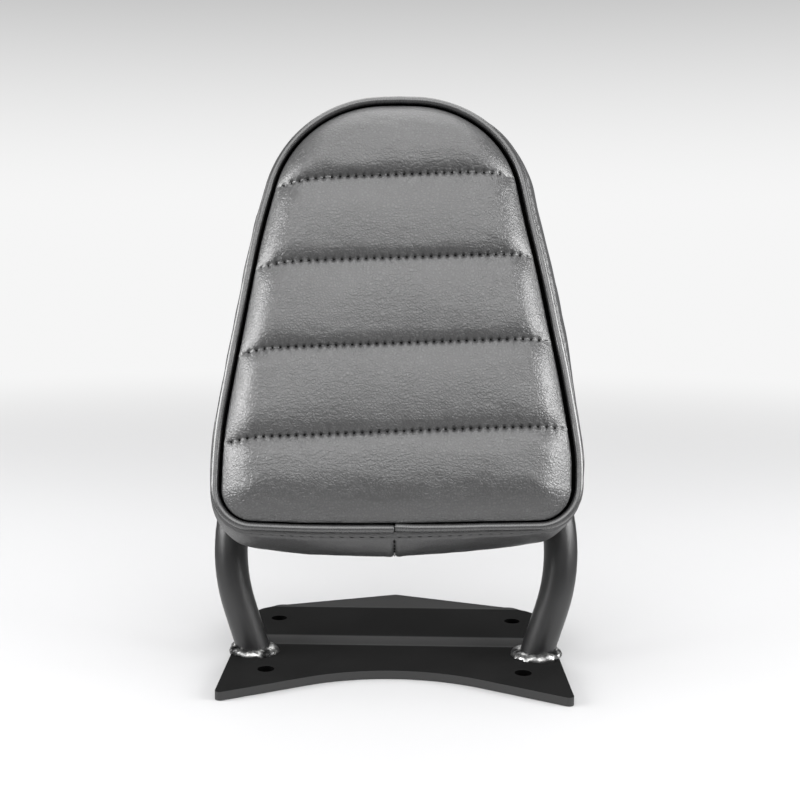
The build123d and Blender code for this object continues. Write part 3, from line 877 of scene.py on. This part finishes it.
def sewStitches(name, spots, length, material):
    places, faces = stitchShape(length)
    allPlaces, allFaces = [], []
    for place, along, outward in spots:
        along = np.array(along) / np.linalg.norm(along)
        outward = np.array(outward) - along * (np.array(outward) @ along)
        outward = outward / np.linalg.norm(outward)
        across = np.cross(outward, along)
        start = len(allPlaces)
        allPlaces.extend(np.array(place) + places @ np.stack((along, across, outward)))
        allFaces.extend(tuple(start + i for i in face) for face in faces)
    piece = meshObject(name, allPlaces, allFaces, material)
    faceOutwards(piece)
    smooth(piece)


def panelStitches():
    turn = panel["slant"]
    lie = turn - panel["stitchTurn"]
    edge, edgeOut = panelEdge()
    across = (np.arange(-panel["halfRow"], panel["halfRow"]) + 0.5) * panel["stitchPitch"]
    spots = []
    for seam in seamHeights:
        x = across * cos(turn) - seam * sin(turn)
        up = across * sin(turn) + seam * cos(turn)
        for a, b in zip(x, up):
            hit = np.argmin((edge[:, 0] - a) ** 2 + (edge[:, 1] - b) ** 2)
            inside = (edge[hit] - (a, b)) @ edgeOut[hit]
            if inside < panel["plainEnd"]:
                continue
            here, depth = np.array([a]), np.array([inside])
            dip = seamDip(here, np.array([b]), depth)
            high, level = b - dip, seam - dip
            b = high[0]
            out = panelForm(here, high, level, depth, 1.0) + panelDetail(here, high, level, depth)
            place = toWorld(a, b, out[0] + panel["stitchOut"])
            along = toWorld(a + cos(lie), b + sin(lie), 0) - toWorld(a, b, 0)
            spots.append((place, along, padFront))
    sewStitches("panelStitches", spots, panel["stitchLength"], thread)


panelStitches()
print("panel seams sewn")

# welt round the front, one cord with its two ends meeting at the bottom middle
welt = {
    "radius": 0.0023, "sides": 18, "spacing": 0.0010, "gap": 0.0006,
    "step": 0.0007,         # how far one end rises over the other
    "backStep": 0.2,
    "stepOver": 8.0,        # in rings
    "closing": 0.86, "uneven": 0.035, "unevenScale": 0.19, "sway": 0.00018, "swayScale": 0.035,
}


# the faces between closed rings of points that follow one another
def ringFaces(rings, sides):
    faces = []
    for ring in range(rings - 1):
        for side in range(sides):
            a, b = ring * sides + side, ring * sides + (side + 1) % sides
            faces.append((a, b, b + sides, a + sides))
    return faces


def makeWelt():
    loop, out = outline(0, welt["radius"], welt["spacing"])
    index = np.arange(len(loop) + 1) % len(loop)
    loop, out = loop[index].copy(), out[index]
    total, sides = len(loop), welt["sides"]
    number = np.arange(total)
    first = hump(number, welt["stepOver"])
    last = hump(total - 1 - number, welt["stepOver"])
    loop[:, 0] += welt["gap"] / 2 * (number == 0) - welt["gap"] / 2 * (number == total - 1)
    loop[:, 1] += welt["step"] * first - welt["backStep"] * welt["step"] * last
    turn = 2 * pi * np.arange(sides) / sides
    places = []
    for spot in range(total):
        closing = welt["closing"] if spot in (0, total - 1) else 1.0
        uneven = noise.noise(Vector((spot * welt["unevenScale"], 2.0, 7.0)))
        radius = welt["radius"] * closing * (1 + welt["uneven"] * uneven)
        sway = welt["sway"] * noise.noise(Vector((spot * welt["swayScale"], 9.0, 1.0)))
        centre = loop[spot] + out[spot] * sway
        ring = centre + np.outer(radius * np.cos(turn), out[spot])
        places.extend(toWorld(*ring.T, pad["rim"] + radius * np.sin(turn)))
    faces = ringFaces(total, sides)
    faces.append(tuple(range(sides))[::-1])
    faces.append(tuple(range((total - 1) * sides, total * sides)))
    piece = meshObject("weltCord", places, faces, weltVinyl)
    faceOutwards(piece)
    smooth(piece, 50)
    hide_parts("piping")


makeWelt()
print("welt laid")

# side band from the welt to the turned-in back edge, topstitched behind the welt
band = {
    "front": 0.0428, "back": 0.0012, "middle": 0.022, "reach": 0.0215, "spacing": 0.0012,
    "thickness": 0.0010,
    # inset and height of the rows under the panel, inset and gathers of those at the back
    "flange": ((0.011, 0.0380), (0.0060, 0.0382), (0.0040, 0.0396)),
    "turnIn": ((0.0045, 0.0004), (0.009, 0.0003), (0.022, 0.0)),
    "foldOver": 0.0022, "foldIn": 0.0016,
    # rows by depth: close ones at the sewn edge, even ones, and those of the fold
    "closeRows": (0.0004, 0.0085, 0.0004), "evenFrom": 0.0095, "evenRows": 20,
    "foldRows": (0.0012, 0.0006, 0.0002, 0.0),
    # the sewn edge
    "tuck": 0.0021, "tuckOver": 0.0012, "ridge": 0.0004, "ridgeAt": 0.0013, "groove": 0.0011,
    "grooveOver": 0.0006, "stitchBack": 0.0024, "stitchPitch": 0.0057, "stitchLength": 0.0038,
    "stitchOut": 0.0001, "gather": 0.00014, "gatherOver": 0.0022, "pucker": 0.0005,
    "puckerOver": 0.008,
    # uneven stuffing: height, lean, scale and seed
    "lumps": ((0.0006, 1.6, 34.0, 2.2), (0.00025, 2.2, 90.0, 6.1)),
    # more belly on the right than on the left, and less round the lower corners
    "sideSpread": 0.0016, "sideFrom": 0.06, "lowRight": 1.9, "lowBelow": 0.120,
    "lowOver": 0.045, "cornerSpread": 0.0026, "cornerAt": (0.103, 0.012),
    "cornerOver": (0.018, 0.026),
    # the band's own joint at the bottom middle, a groove with two lips
    "jointFrom": 0.0016, "joint": 0.0011, "jointOver": 0.0008, "lip": 0.00035, "lipAt": 0.0028,
    "lipOver": 0.0018, "jointStitches": 8,
    "jointBlack": 5,        # the rest are grey
    "jointPitch": 0.0026, "jointIn": 0.0004,
}


def bandStations():
    whole = band["front"] - band["back"]
    rest = np.linspace(band["evenFrom"], whole - 0.002, band["evenRows"])
    return np.concatenate((np.arange(*band["closeRows"]), rest, whole - np.array(band["foldRows"])))


# in at the welt, out over the seam allowance, in at the topstitching, then out to the belly
def sewnEdge(depth):
    tuck = -band["tuck"] * hump(depth, band["tuckOver"])
    ridge = band["ridge"] * hump(depth - band["ridgeAt"], band["grooveOver"])
    groove = -band["groove"] * hump(depth - band["stitchBack"], band["grooveOver"])
    return tuck + ridge + groove


def bandSpread(x, up):
    right = np.clip(x / pad["sideAt"], 0, 1)
    side = np.clip(x / pad["sideAt"], -1, 1) * np.clip(up / band["sideFrom"], 0, 1)
    side -= band["lowRight"] * right * np.clip((band["lowBelow"] - up) / band["lowOver"], 0, 1)
    across = (np.abs(x) - band["cornerAt"][0]) / band["cornerOver"][0]
    high = (up - band["cornerAt"][1]) / band["cornerOver"][1]
    return band["sideSpread"] * side - band["cornerSpread"] * np.exp(-(across**2 + high**2))


def bandSwell(out):
    return max(0.0, 1 - ((out - band["middle"]) / band["reach"]) ** 2)


# how far the band stands out of its swollen outline, at one depth all round
def bandPush(x, up, out, depth, swell):
    arc = np.arange(len(x)) * band["spacing"]
    behind = depth - band["stitchBack"]
    push = sewnEdge(depth) + swell * bandSpread(x, up)
    for size, lean, scale, seed in band["lumps"]:
        push += swell * size * wobble(x, up + out * lean, scale, seed)
    gather = np.cos(2 * pi * arc / band["stitchPitch"])
    push += band["gather"] * gather * hump(behind, band["gatherOver"])
    if behind > 0:
        pucker = wobble(arc, out * 0.3, 85.0, 9.3)
        push += band["pucker"] * pucker * hump(behind, band["puckerOver"])
    if depth > band["jointFrom"]:
        across = np.where(up < 0.02, x, 1.0)
        push -= band["joint"] * hump(across, band["jointOver"])
        push += band["lip"] * hump(np.abs(across) - band["lipAt"], band["lipOver"])
    return push


def makeBand():
    rows = []
    for inset, out in band["flange"]:
        loop, _ = outline(0, inset, band["spacing"])
        rows.append(toWorld(*loop.T, out))
    for depth in bandStations():
        out = band["front"] - depth
        swell = bandSwell(out)
        turned = max(0.0, 1 - (out - band["back"]) / band["foldOver"])
        loop, outward = outline(swell, band["foldIn"] * turned**2, band["spacing"])
        push = bandPush(*loop.T, out, depth, swell)
        spots = loop + outward * push[:, None]
        rows.append(toWorld(*spots.T, out))
    for inset, gather in band["turnIn"]:
        loop, _ = outline(0, inset, band["spacing"])
        fold = np.abs(wobble(np.arange(len(loop)) * band["spacing"], 0.0, 170.0, 4.4))
        rows.append(toWorld(*loop.T, band["back"] + gather * fold))
    width = len(rows[0])
    faces = ringFaces(len(rows), width)
    piece = meshObject("sideBand", np.concatenate(rows), faces, bandVinyl)
    # the flange rows under the panel, down in the groove, get the painted shade material
    piece.data.materials.append(paintedGrooveShade)
    for face in piece.data.polygons[: len(band["flange"]) * width]:
        face.material_index = 1
    faceOutwards(piece)
    pick(piece)
    wall = piece.modifiers.new("wall", "SOLIDIFY")
    wall.thickness = band["thickness"]
    wall.offset = -1
    bpy.ops.object.modifier_apply(modifier="wall")
    smooth(piece, 60)
    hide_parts("side_boxing")


def bandStitches():
    depth = band["stitchBack"]
    out = band["front"] - depth
    swell = bandSwell(out)
    loop, outward = outline(swell, 0, 0.0004)
    push = sewnEdge(depth) + swell * bandSpread(*loop.T)
    loop = loop + outward * (push + band["stitchOut"])[:, None]
    step = np.linalg.norm(np.roll(loop, -1, axis=0) - loop, axis=1)
    run = np.concatenate(((0,), np.cumsum(step)))[:-1]
    spots = []
    for number in range(int(run[-1] / band["stitchPitch"])):
        index = int(np.argmin(np.abs(run - (number + 0.5) * band["stitchPitch"])))
        ahead = loop[(index + 1) % len(loop)] - loop[index]
        place = toWorld(*loop[index], out)
        along = toWorld(*ahead, 0) - toWorld(0, 0, 0)
        away = toWorld(*outward[index], 0) - toWorld(0, 0, 0)
        spots.append((place, along, away))
    sewStitches("bandStitches", spots, band["stitchLength"], thread)


# the band's own joint, sewn along its depth under the bottom middle
def bandJoint():
    spots = []
    for number in range(band["jointStitches"]):
        out = band["front"] - band["stitchBack"] - number * band["jointPitch"]
        up = -bandSwell(out) * pad["bottomSwell"] - sewnEdge(band["front"] - out) + band["jointIn"]
        spots.append((toWorld(0.0, up, out), -padFront, -padUp))
    sewStitches("jointStitches", spots[: band["jointBlack"]], 0.0018, thread)
    sewStitches("jointStitchesGrey", spots[band["jointBlack"] :], 0.0016, greyThread)


makeBand()
bandStitches()
bandJoint()
print("side band sewn")

# bare weld beads round the tube's feet
footWeld = {
    "halfSpacing": 0.0855, "y": 0.033, "plateTop": 0.005, "sunk": 0.0004, "reach": 0.0112,
    "bead": 0.0034, "uneven": 0.30, "ripples": 17, "ripple": 0.00045, "rippleLean": 0.35,
    "rippleSway": 0.9, "lump": 0.0006, "lean": radians(17),
}


def makeFootWeld(name, side, node):
    centre = Vector((side * footWeld["halfSpacing"], footWeld["y"], footWeld["plateTop"]))
    bpy.ops.mesh.primitive_torus_add(
        major_segments=120, minor_segments=16,
        major_radius=footWeld["reach"], minor_radius=footWeld["bead"], location=centre,
    )
    piece = bpy.context.active_object
    piece.name = name
    bpy.ops.object.transform_apply(location=True, rotation=True, scale=True)
    for vertex in piece.data.vertices:
        away = vertex.co - centre
        turn = atan2(away.y, away.x)
        ring = Vector((cos(turn), sin(turn), 0)) * footWeld["reach"]
        skin = away - ring
        height = skin.z / footWeld["bead"]
        uneven = noise.noise(Vector((cos(turn) * 1.7, sin(turn) * 1.7, side * 3.0)))
        lumps = noise.noise(Vector((cos(turn) * 6, sin(turn) * 6, height * 0.8 + side)))
        phase = turn / (2 * pi) * footWeld["ripples"] + footWeld["rippleLean"] * height
        phase = (phase + footWeld["rippleSway"] * uneven) % 1
        size = footWeld["bead"] * (1 + footWeld["uneven"] * uneven)
        size += footWeld["ripple"] * (sqrt(phase) - 0.6) + footWeld["lump"] * lumps
        spot = ring + skin.normalized() * size
        spot.x = spot.x / cos(footWeld["lean"]) + side * max(spot.z, 0) * tan(footWeld["lean"])
        vertex.co = centre + spot
        vertex.co.z = max(vertex.co.z, footWeld["plateTop"] - footWeld["sunk"])
    piece.data.materials.append(bareWeld)
    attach(piece, "root")
    smooth(piece, 60)
    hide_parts(node)


makeFootWeld("footBeadLeft", -1, "foot_weld_left")
makeFootWeld("footBeadRight", 1, "foot_weld_right")
print("foot welds laid")
